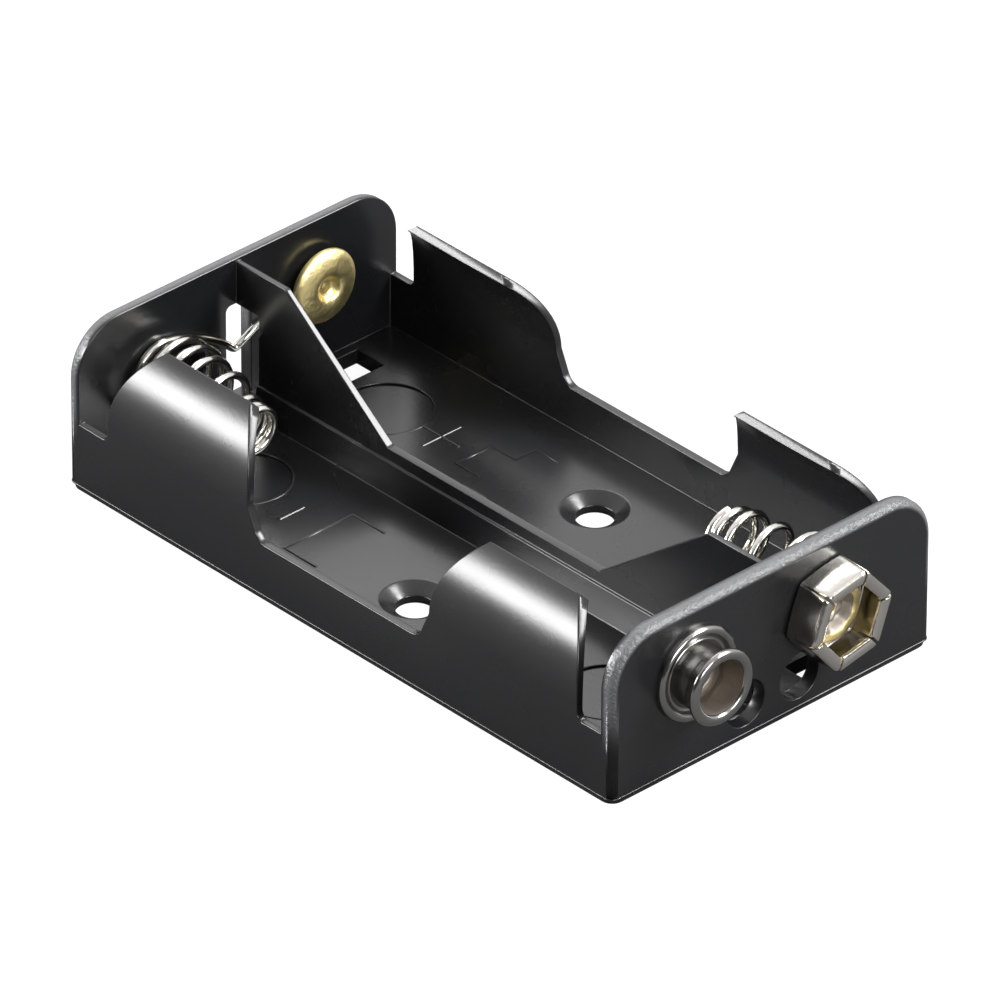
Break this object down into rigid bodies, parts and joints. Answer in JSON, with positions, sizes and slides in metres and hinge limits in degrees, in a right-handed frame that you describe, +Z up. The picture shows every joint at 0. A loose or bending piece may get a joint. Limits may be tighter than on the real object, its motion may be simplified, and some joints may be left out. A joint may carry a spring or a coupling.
{
  "type": "battery holder",
  "caption": "Open tray for side-by-side AA cells, with curled side tabs, contact springs, and a snap stud and snap socket on one end wall.",
  "frame": {"origin": "centre of the tray's underside", "axes": "+X along the lanes towards the snap terminals, +Y across the lanes towards the socket's lane, +Z up out of the tray"},
  "size_m": [0.0606, 0.0314, 0.0134],
  "materials": {
    "black_plastic": "moulded, satin",
    "nickel_plate": "bright nickel plate",
    "brass": "pressed, bright",
    "spring_wire": "nickel-plated spring wire"
  },
  "bodies": {
    "root": {"housing": "black_plastic", "stud_terminal": "nickel_plate", "socket_terminal": "nickel_plate", "stud_rivet": "brass", "socket_rivet": "brass", "link_rivet": "brass", "socket_spring": "spring_wire", "link_spring": "spring_wire"}
  },
  "joints": []
}
